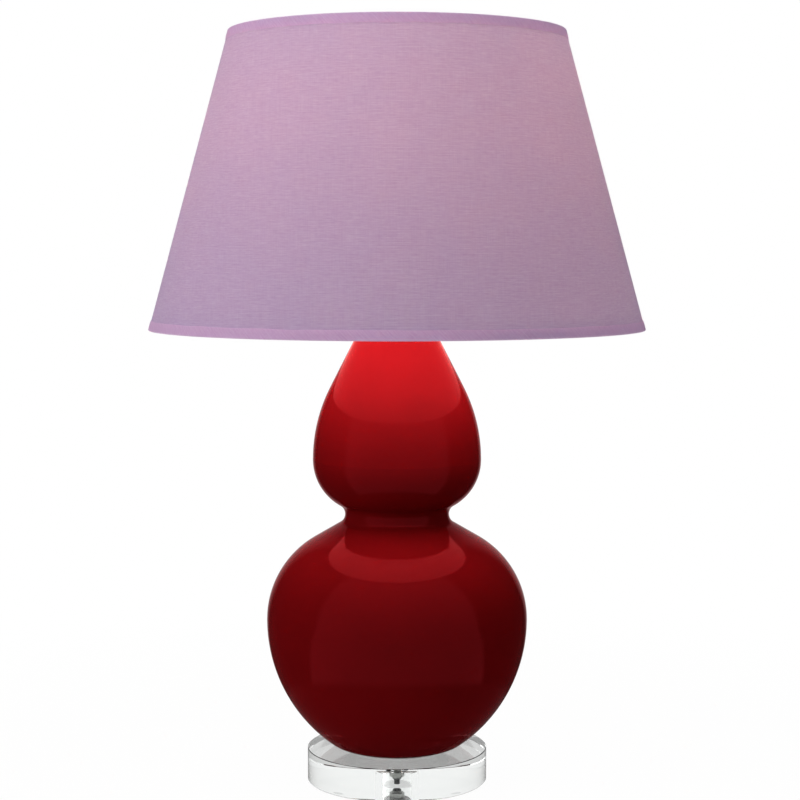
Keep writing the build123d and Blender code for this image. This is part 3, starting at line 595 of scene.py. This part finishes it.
def tape_path(edge, inwards, angle):
    """The middle line of a tape's section, from its outer edge round the rim to its inner edge."""
    half = TAPE_T / 2
    band = edge + inwards * (TAPE_OUT + uneven(angle, edge, TAPE_SWAY_LONG, TAPE_SWAY))
    puff = uneven(angle, edge + OTHER_WANDER, TAPE_PUFF_LONG, TAPE_PUFF)
    rise = seam_rise(angle) + GLUE + half
    middle = (edge + band) / 2
    nearest = min(shade_r(edge), shade_r(edge + inwards * 2 * WIRE_R))
    wire = (nearest - WIRE_AT, WIRE_R)
    out = [
        (shade_r(band) + rise, band),
        (shade_r(middle) + rise + puff, middle),
        (shade_r(edge) + rise, edge),
    ]
    corner = arc((shade_r(edge), 0), GLUE + half, 0, -90, RIM_POINTS)[1:]
    turn = arc(wire, WIRE_R + GLUE + half, -90, -180, WIRE_POINTS)
    leg = [(turn[-1][0], TAPE_IN - WIRE_R), (turn[-1][0], TAPE_IN)]
    return out + [(r, edge + inwards * depth) for r, depth in corner + turn + leg]


def walk(path, length, count):
    """Points evenly along a path, up to a length, each with the direction of the path there."""
    spans = [math.dist(a, b) for a, b in zip(path, path[1:])]
    length = min(length, sum(spans))
    points = []
    for i in range(count):
        left = i / (count - 1) * length
        j = 0
        while j < len(spans) - 1 and left > spans[j]:
            left -= spans[j]
            j += 1
        (r0, z0), (r1, z1) = path[j], path[j + 1]
        share = left / spans[j]
        along = ((r1 - r0) / spans[j], (z1 - z0) / spans[j])
        points.append((r0 + share * (r1 - r0), z0 + share * (z1 - z0), along))
    return points


def path_length(path):
    """How long a line of straight steps is."""
    return sum(math.dist(a, b) for a, b in zip(path, path[1:]))


def tape_loop(edge, inwards, snips):
    """The closed section of a folded tape, by angle. It is snipped short where an arm passes."""

    def loop(angle):
        path = tape_path(edge, inwards, angle)
        length = math.inf
        if any(abs(math.remainder(angle - a, TURN)) * SHADE_HIGH_R < SNIP_W / 2 for a in snips):
            length = path_length(path[:SNIP_KEEPS])
        rise = lap_rise(angle, TAPE_LAP_AT, shade_r(edge), TAPE_LAP, TAPE_LAP_T)
        outside = []
        inside = []
        for i, (r, z, (run, climb)) in enumerate(walk(path, length, TAPE_POINTS)):
            from_end = min(i, TAPE_POINTS - 1 - i)
            thin = PRESSED[min(from_end, len(PRESSED) - 1)] * TAPE_T / 2
            out_r, out_z = -climb * inwards, run * inwards
            outside.append((r + out_r * (thin + rise), z + out_z * (thin + rise)))
            inside.append((r - out_r * thin, z - out_z * thin))
        return outside + inside[::-1]

    return loop


def rim_tape(name, node, edge, inwards, snips=()):
    """A bias tape of the shade's own cloth, glued outside, folded over the rim and tucked in."""
    cuts = [TAPE_LAP_AT - CRISP, TAPE_LAP_AT, BACK - CRISP, BACK]
    cuts += [BACK + SEAM_LAP / shade_r(edge), TAPE_LAP_AT + TAPE_LAP / shade_r(edge)]
    half = SNIP_W / 2 / SHADE_HIGH_R
    cuts += [a + side * (half + step) for a in snips for side in (-1, 1) for step in (0, CRISP)]
    verts, faces = turned(tape_loop(edge, inwards, snips), angles_round(RING_STEPS, cuts))
    # painted light: this material is written lighter than the cloth's, for the lamplight that the
    # folded tape lets through less
    made = piece(name, verts, faces, painted_light_tape_silk, "shade")
    lay_weave(made)
    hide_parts(node)
    wide = path_length(tape_path(edge, inwards, 0))


shade_cloth()
rim_tape("top_tape", "top_trim", SHADE_HIGH, -1, SNIP_ANGLES)
rim_tape("bottom_tape", "bottom_trim", SHADE_LOW, 1)


# ---------------------------------------------------------------- threads
PIPE_PITCH = INCH / 27  # the thread of lamp pipe, and near enough the stud's
PIPE_THREAD = 0.5 * MM
PIPE_THREAD_L = 25 * MM
PIPE_WALL = 1.7 * MM
STUD_R = 3.15 * MM
STUD_L = 12.5 * MM
STUD_TIP = 0.8 * MM  # the chamfer at its end
STUD_THREAD = 0.35 * MM
STUD_FLANGE_R = 8.5 * MM
STUD_FLANGE = 1.6 * MM
STUD_BEVEL = 0.3 * MM
STUD_SHANK_R = 2.0 * MM
STUD_HEAD_R = 3.4 * MM
STUD_HEAD = 1.4 * MM
STUD_HEAD_BEVEL = 0.7 * MM
LAMP_PITCH = INCH / 7  # the rolled thread of a medium bulb cap
LAMP_THREAD = 0.6 * MM
SHELL_THREAD = 0.8 * LAMP_THREAD
CAP_WALL = 0.4 * MM
CAP_FOOT_IN = 4.6 * MM  # how far the cap draws in at its foot, and how high up that goes
CAP_FOOT = 2.1 * MM
CAP_THREAD_FROM = 2.6 * MM
NECK_IN_CAP = 3 * MM  # the glass neck fills the cap's plain mouth
SHELL_HOLE_R = 8 * MM
THREAD_STEPS = 36
WAVES = 8  # rows of points over each turn of a thread
MELT = 0.001 * MM  # points nearer than this are one


def crest(angle, z, pitch):
    """1 on a thread's crest and 0 in its groove, rounded as a rolled thread is."""
    return 0.5 + 0.5 * math.cos(TURN * z / pitch - angle)


def fade(z, low, high, ease):
    """1 between two heights, falling to 0 at both."""
    return min(max(min(z - low, high - z) / ease, 0.0), 1.0)


def rows(low, high, pitch):
    """Heights close enough together to draw a thread."""
    count = math.ceil((high - low) / pitch * WAVES)
    return [low + i * (high - low) / count for i in range(count + 1)]


def threaded(name, loop_at, material, body):
    """A turned piece with its thread, in the place of the CAD node of that name."""
    verts, faces = turned(loop_at, angles_round(THREAD_STEPS))
    made = piece("threaded_" + name, verts, faces, material, body)
    joined = bmesh.new()
    joined.from_mesh(made.data)
    bmesh.ops.remove_doubles(joined, verts=joined.verts, dist=MELT)
    joined.to_mesh(made.data)
    joined.free()
    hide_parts(name)


def pipe_loop(angle):
    """The lamp's pipe: threaded at both ends, where the nuts and the socket go."""
    low, high = (corner.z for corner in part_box("lamp_pipe"))
    outer_r = radius_at("lamp_pipe", low)
    bore_r = outer_r - PIPE_WALL
    lower = rows(low, low + PIPE_THREAD_L, PIPE_PITCH)
    upper = rows(high - PIPE_THREAD_L, high, PIPE_PITCH)
    outside = []
    for heights in (lower, upper):
        first, last = heights[0] - PIPE_PITCH, heights[-1] + PIPE_PITCH
        for z in heights:
            cut = PIPE_THREAD * fade(z, first, last, PIPE_PITCH)
            outside.append((outer_r - cut * (1 - crest(angle, z, PIPE_PITCH)), z))
    return outside + [(bore_r, high), (bore_r, low)]


def stud_loop(angle):
    """The swivel stud: a head under the harp's eye, a flange under the shade, and its thread."""
    low, high = (corner.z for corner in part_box("harp_stud"))
    seat = high - STUD_L
    under = seat - STUD_FLANGE
    flat_r = STUD_FLANGE_R - STUD_BEVEL
    outside = [
        (0, low),
        (STUD_HEAD_R - STUD_HEAD_BEVEL, low),
        (STUD_HEAD_R, low + STUD_HEAD),
        (STUD_SHANK_R, low + STUD_HEAD),
        (STUD_SHANK_R, under),
        (flat_r, under),
        (STUD_FLANGE_R, under + STUD_BEVEL),
        (STUD_FLANGE_R, seat - STUD_BEVEL),
        (flat_r, seat),
        (STUD_R, seat),
    ]
    for z in rows(seat, high - STUD_TIP, PIPE_PITCH):
        cut = STUD_THREAD * fade(z, seat, high, PIPE_PITCH)
        outside.append((STUD_R - cut * (1 - crest(angle, z, PIPE_PITCH)), z))
    return outside + [(STUD_R - STUD_TIP, high), (0, high)]


def cap_loop(angle):
    """The bulb's rolled cap: the thread is pressed into sheet, so both its faces follow it."""
    low, high = (corner.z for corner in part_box("bulb_cap"))
    outer_r = radius_at("bulb_cap", high)
    outside = [(outer_r - CAP_FOOT_IN, low), (outer_r - LAMP_THREAD, low + CAP_FOOT)]
    start = low + CAP_THREAD_FROM
    for z in rows(start, high, LAMP_PITCH):
        cut = LAMP_THREAD * fade(z, start, high - NECK_IN_CAP, LAMP_PITCH / 2)
        outside.append((outer_r - cut * (1 - crest(angle, z, LAMP_PITCH)), z))
    return outside + [(r - CAP_WALL, z) for r, z in reversed(outside)]


def shell_loop(angle):
    """The brass shell for the bulb's cap: its thread stands outwards, on a flange with a hole."""
    low, high = (corner.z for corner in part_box("screw_shell"))
    inner_r = radius_at("screw_shell", high) - CAP_WALL
    inside = [(SHELL_HOLE_R, low + CAP_WALL)]
    for z in rows(low + CAP_WALL, high, LAMP_PITCH):
        out = SHELL_THREAD * fade(z, low + CAP_WALL, high, LAMP_PITCH / 2)
        inside.append((inner_r + out * crest(angle, z, LAMP_PITCH), z))
    outside = [(r + CAP_WALL, z) for r, z in reversed(inside[1:])]
    return inside + outside + [(inner_r + CAP_WALL, low), (SHELL_HOLE_R, low)]


threaded("lamp_pipe", pipe_loop, zinc, "lamp")
threaded("harp_stud", stud_loop, nickel, "stud")
threaded("bulb_cap", cap_loop, spun_aluminium, "bulb")
threaded("screw_shell", shell_loop, brass, "lamp")


# ---------------------------------------------------------------- screw slots
SLOT_W = 0.8 * MM
SLOT_DEEP = 0.9 * MM
SLOT_REACH = 4 * MM  # past the edge of a terminal screw's head
SET_SLOT_REACH = 3 * MM
SLOT_TURNS = [math.radians(a) for a in (25, -50, 70)]  # as a driver happened to leave them
BOX_SIDES = ((0, 1, 3, 2), (4, 6, 7, 5), (0, 4, 5, 1), (2, 3, 7, 6), (0, 2, 6, 4), (1, 5, 7, 3))


def blade(middle, into, turn, long):
    """The corners of what cuts a slot across a screw's head."""
    into = Vector(into)
    side = into.cross(Vector((0, 0, 1)))
    across = side * math.cos(turn) + Vector((0, 0, 1)) * math.sin(turn)
    along = into.cross(across)
    return [
        Vector(middle) + a * SLOT_DEEP * into + b * SLOT_W / 2 * across + c * long * along
        for a in (-1, 1)
        for b in (-1, 1)
        for c in (-1, 1)
    ]


def slotted(name, blades, material, body):
    """A CAD node's screws with their driver slots cut, in its place."""
    cutter_mesh = bmesh.new()
    for corners in blades:
        verts = [cutter_mesh.verts.new(corner) for corner in corners]
        for sides in BOX_SIDES:
            cutter_mesh.faces.new([verts[i] for i in sides])
    bmesh.ops.recalc_face_normals(cutter_mesh, faces=cutter_mesh.faces)
    cutter = bpy.data.objects.new("cutter", bpy.data.meshes.new("cutter"))
    cutter_mesh.to_mesh(cutter.data)
    cutter_mesh.free()
    made = bpy.data.objects.new("slotted_" + name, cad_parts[name].data.copy())
    for each in (cutter, made):
        bpy.context.scene.collection.objects.link(each)
    cut = made.modifiers.new("slot", "BOOLEAN")
    cut.object = cutter
    cut.solver = "EXACT"
    shapes = bpy.context.evaluated_depsgraph_get()
    finished = bpy.data.meshes.new_from_object(made.evaluated_get(shapes))
    made.modifiers.clear()
    made.data = finished
    bpy.data.objects.remove(cutter)
    finished.materials.clear()
    finished.materials.append(material)
    for face in finished.polygons:
        face.material_index = 0
    finished.set_sharp_from_angle(angle=SHARP)
    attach(made, body)
    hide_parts(name)


def screw_slots():
    """The slots of the two terminal screws, left and right, and of the cap's set screw, behind."""
    low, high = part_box("terminal_screws")
    level = (low.z + high.z) / 2
    heads = [
        blade((low.x, 0, level), (1, 0, 0), SLOT_TURNS[0], SLOT_REACH),
        blade((high.x, 0, level), (-1, 0, 0), SLOT_TURNS[1], SLOT_REACH),
    ]
    slotted("terminal_screws", heads, brass, "lamp")
    low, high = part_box("cap_set_screw")
    level = (low.z + high.z) / 2
    end = blade((0, high.y, level), (0, -1, 0), SLOT_TURNS[2], SET_SLOT_REACH)
    slotted("cap_set_screw", [end], zinc, "lamp")


screw_slots()


# ---------------------------------------------------------------- camera
PHOTO_PX = 800
CAMERA_BACK = 2.05
CAMERA_UP = 0.582
CAMERA_DIP = 4.675  # degrees below level
MM_PER_PX = 1.07  # on the lamp's axis
AXIS_PX = 397  # the lamp's axis stands this far across the photograph
CAMERA_REACH = 50  # past the floor's far edge


def set_camera():
    """The photograph's view: from the height of the shade's lower half, and nearly level."""
    eye = bpy.data.cameras.new("camera")
    made = bpy.data.objects.new("camera", eye)
    bpy.context.scene.collection.objects.link(made)
    made.location = (0, -CAMERA_BACK, CAMERA_UP)
    made.rotation_euler = (math.radians(90 - CAMERA_DIP), 0, 0)
    eye.lens = eye.sensor_width * CAMERA_BACK / (MM_PER_PX * MM) / PHOTO_PX
    eye.shift_x = (PHOTO_PX / 2 - AXIS_PX) / PHOTO_PX
    eye.clip_end = CAMERA_REACH
    bpy.context.scene.camera = made


set_camera()


# ---------------------------------------------------------------- studio
def seen_plainly(tree):
    """1 for what the camera sees, straight or through clear plastic, and else 0."""
    ray = add(tree, "ShaderNodeLightPath").outputs
    return add(
        tree,
        "ShaderNodeMath",
        {0: ray["Is Camera Ray"], 1: ray["Is Transmission Ray"]},
        operation="MAXIMUM",
    ).outputs[0]


def mirrored_only(tree):
    """1 for what a surface mirrors. What is seen through clear plastic counts as glossy too, so it
    is taken out."""
    ray = add(tree, "ShaderNodeLightPath").outputs
    return add(
        tree,
        "ShaderNodeMath",
        {0: ray["Is Glossy Ray"], 1: ray["Is Transmission Ray"]},
        operation="SUBTRACT",
        use_clamp=True,
    ).outputs[0]


ROOM_LIGHT = 0.4  # the even light from all round, where 1 would be white
# What gloss shows of the studio: how far a direction is from straight back, 0, to straight
# forward, 1, by its depth, and how bright it is there.
MIRRORED_ROOM = (
    (0.0, 0.7),
    (0.03, 0.6),
    (0.08, 0.04),
    (0.18, 0.07),
    (0.62, 0.07),
    (0.66, 0.8),
    (1.0, 0.75),
)
MIRRORED_SHADOW_GREY = 0.16  # painted shadow: how dark gloss shows the table close to the lamp, as under the shade's shadow
NEAR_TABLE = (0.25, 0.3)  # from the lamp's axis, where that painted shadow gives way to the far table
FLOOR_R = 12.0
TABLE_GREY = "c4c4c4"
TABLE_GLOW = 0.985  # how white the camera sees the table by the lamp: the rest is its shadow
TABLE_FADE = (0.25, 1.1)  # from the lamp's axis, where that fades to pure white
SEEN_THROUGH = 0.6  # how white the table is through the clear disc
PANEL_SIZE = 2.2
LAMP_MIDDLE = 0.45  # the height that the panels face
MOUTH_TINT = (1.0, 0.9, 0.8)  # lamplight off the shade's inside


def mirrored_room(tree, place):
    """How bright gloss shows the studio in a direction from the lamp's axis."""
    level = add(tree, "ShaderNodeVectorMath", {0: place, 1: (1, 1, 0)}, operation="MULTIPLY")
    along = add(tree, "ShaderNodeVectorMath", {0: level.outputs[0]}, operation="NORMALIZE")
    depth = add(tree, "ShaderNodeSeparateXYZ", {0: along.outputs[0]}).outputs["Y"]
    turn = add(
        tree, "ShaderNodeMapRange", {"Value": depth, "From Min": 1.0, "From Max": -1.0}
    ).outputs[0]
    walls = add(tree, "ShaderNodeValToRGB", {0: turn})
    ramp = walls.color_ramp
    while len(ramp.elements) < len(MIRRORED_ROOM):
        ramp.elements.new(0.5)
    for stop, (share, grey) in zip(ramp.elements, MIRRORED_ROOM):
        stop.position = share
        stop.color = (grey, grey, grey, 1)
    return walls.outputs[0]


def white_room():
    """White behind everything, and a plain even light from all round."""
    world = bpy.data.worlds.new("white_room")
    bpy.context.scene.world = world
    world.use_nodes = True
    tree = world.node_tree
    tree.nodes.clear()
    level = add(
        tree,
        "ShaderNodeMapRange",
        {"Value": seen_plainly(tree), "To Min": ROOM_LIGHT, "To Max": 1.0},
    ).outputs[0]
    plain = add(tree, "ShaderNodeBackground", {"Color": (1, 1, 1, 1), "Strength": level})
    place = add(tree, "ShaderNodeTexCoord").outputs["Generated"]
    gloss = add(tree, "ShaderNodeBackground", {"Color": mirrored_room(tree, place), "Strength": 1.0})
    light = add(
        tree,
        "ShaderNodeMixShader",
        {0: mirrored_only(tree), 1: plain.outputs[0], 2: gloss.outputs[0]},
    )
    add(tree, "ShaderNodeOutputWorld", {"Surface": light.outputs[0]})


def white_floor():
    """A pale table that fades into the background and keeps the lamp's soft shadow. What gloss shows of
    it has a painted shadow close to the lamp.
    """
    made = blank("white_floor")
    tree = made.node_tree
    place = add(tree, "ShaderNodeTexCoord").outputs["Object"]
    away = add(tree, "ShaderNodeVectorMath", {0: place}, operation="LENGTH").outputs["Value"]
    matt = add(tree, "ShaderNodeBsdfDiffuse", {"Color": linear(TABLE_GREY)})
    glow = add(tree, "ShaderNodeEmission", {"Color": (1, 1, 1, 1), "Strength": 1.0})
    level = add(
        tree,
        "ShaderNodeMapRange",
        {
            "Value": away,
            "From Min": TABLE_FADE[0],
            "From Max": TABLE_FADE[1],
            "To Min": TABLE_GLOW,
            "To Max": 1.0,
        },
        interpolation_type="SMOOTHSTEP",
    ).outputs[0]
    ray = add(tree, "ShaderNodeLightPath").outputs
    straight = add(tree, "ShaderNodeMath", {0: ray["Is Camera Ray"], 1: level}, operation="MULTIPLY")
    unmirrored = add(tree, "ShaderNodeMath", {0: ray["Glossy Depth"], 1: 0.5}, operation="LESS_THAN")
    through = add(
        tree,
        "ShaderNodeMath",
        {0: ray["Is Transmission Ray"], 1: unmirrored.outputs[0]},
        operation="MULTIPLY",
    )
    share = add(
        tree,
        "ShaderNodeMath",
        {0: through.outputs[0], 1: SEEN_THROUGH, 2: straight.outputs[0]},
        operation="MULTIPLY_ADD",
    )
    seen = add(
        tree,
        "ShaderNodeMixShader",
        {0: share.outputs[0], 1: matt.outputs[0], 2: glow.outputs[0]},
    ).outputs[0]
    far = add(
        tree,
        "ShaderNodeMapRange",
        {"Value": away, "From Min": NEAR_TABLE[0], "From Max": NEAR_TABLE[1]},
        interpolation_type="SMOOTHSTEP",
    ).outputs[0]
    # painted shadow: in gloss the table by the lamp is this dark, as under the shade's shadow
    near = (MIRRORED_SHADOW_GREY, MIRRORED_SHADOW_GREY, MIRRORED_SHADOW_GREY, 1)
    tone = add(
        tree,
        "ShaderNodeMix",
        {"Factor": far, FIRST_COLOUR: near, SECOND_COLOUR: mirrored_room(tree, place)},
        data_type="RGBA",
    ).outputs[MIXED_COLOUR]
    gloss = add(tree, "ShaderNodeEmission", {"Color": tone, "Strength": 1.0}).outputs[0]
    mixed = add(tree, "ShaderNodeMixShader", {0: mirrored_only(tree), 1: seen, 2: gloss})
    add(tree, "ShaderNodeOutputMaterial", {"Surface": mixed.outputs[0]})
    bpy.ops.mesh.primitive_circle_add(vertices=96, radius=FLOOR_R, fill_type="NGON")
    floor = bpy.context.object
    floor.name = "floor"
    floor.data.materials.append(made)


def soft_panel(name, place, width, height, watts, aim_up=LAMP_MIDDLE):
    """A large soft light that faces the lamp, and doesn't show in its gloss."""
    light = bpy.data.lights.new(name, "AREA")
    light.shape = "RECTANGLE"
    light.size = width
    light.size_y = height
    light.energy = watts
    made = bpy.data.objects.new(name, light)
    bpy.context.scene.collection.objects.link(made)
    made.location = place
    made.visible_camera = False
    made.visible_glossy = False
    aim = Vector((0, 0, aim_up)) - Vector(place)
    made.rotation_euler = aim.to_track_quat("-Z", "Y").to_euler()
    return made


def shade_mouth(name, place, wide, watts, mirrored):
    """The light that falls from the shade's open mouth on the gourd, or its mirror image there.
    It lifts off with the shade."""
    made = soft_panel(name, place, wide, wide, watts, 0.0)
    made.rotation_euler = (0, 0, 0)
    made.data.shape = "DISK"
    made.data.color = MOUTH_TINT
    made.visible_glossy = mirrored
    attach(made, "shade")


white_room()
white_floor()
soft_panel("left_wall", (-2.6, -1.3, 0.9), PANEL_SIZE, PANEL_SIZE, 61)
soft_panel("right_wall", (2.6, -1.3, 0.9), PANEL_SIZE, PANEL_SIZE, 10)
soft_panel("overhead", (0, -0.75, 1.55), 1.2, 0.6, 5, 0.75)
shade_mouth("mouth_light", (0, -0.05, 0.49), 0.3, 1.7, False)
shade_mouth("mouth_image", (0, 0, 0.479), 0.495, 1.2, True)

bpy.context.scene.view_settings.view_transform = "Standard"
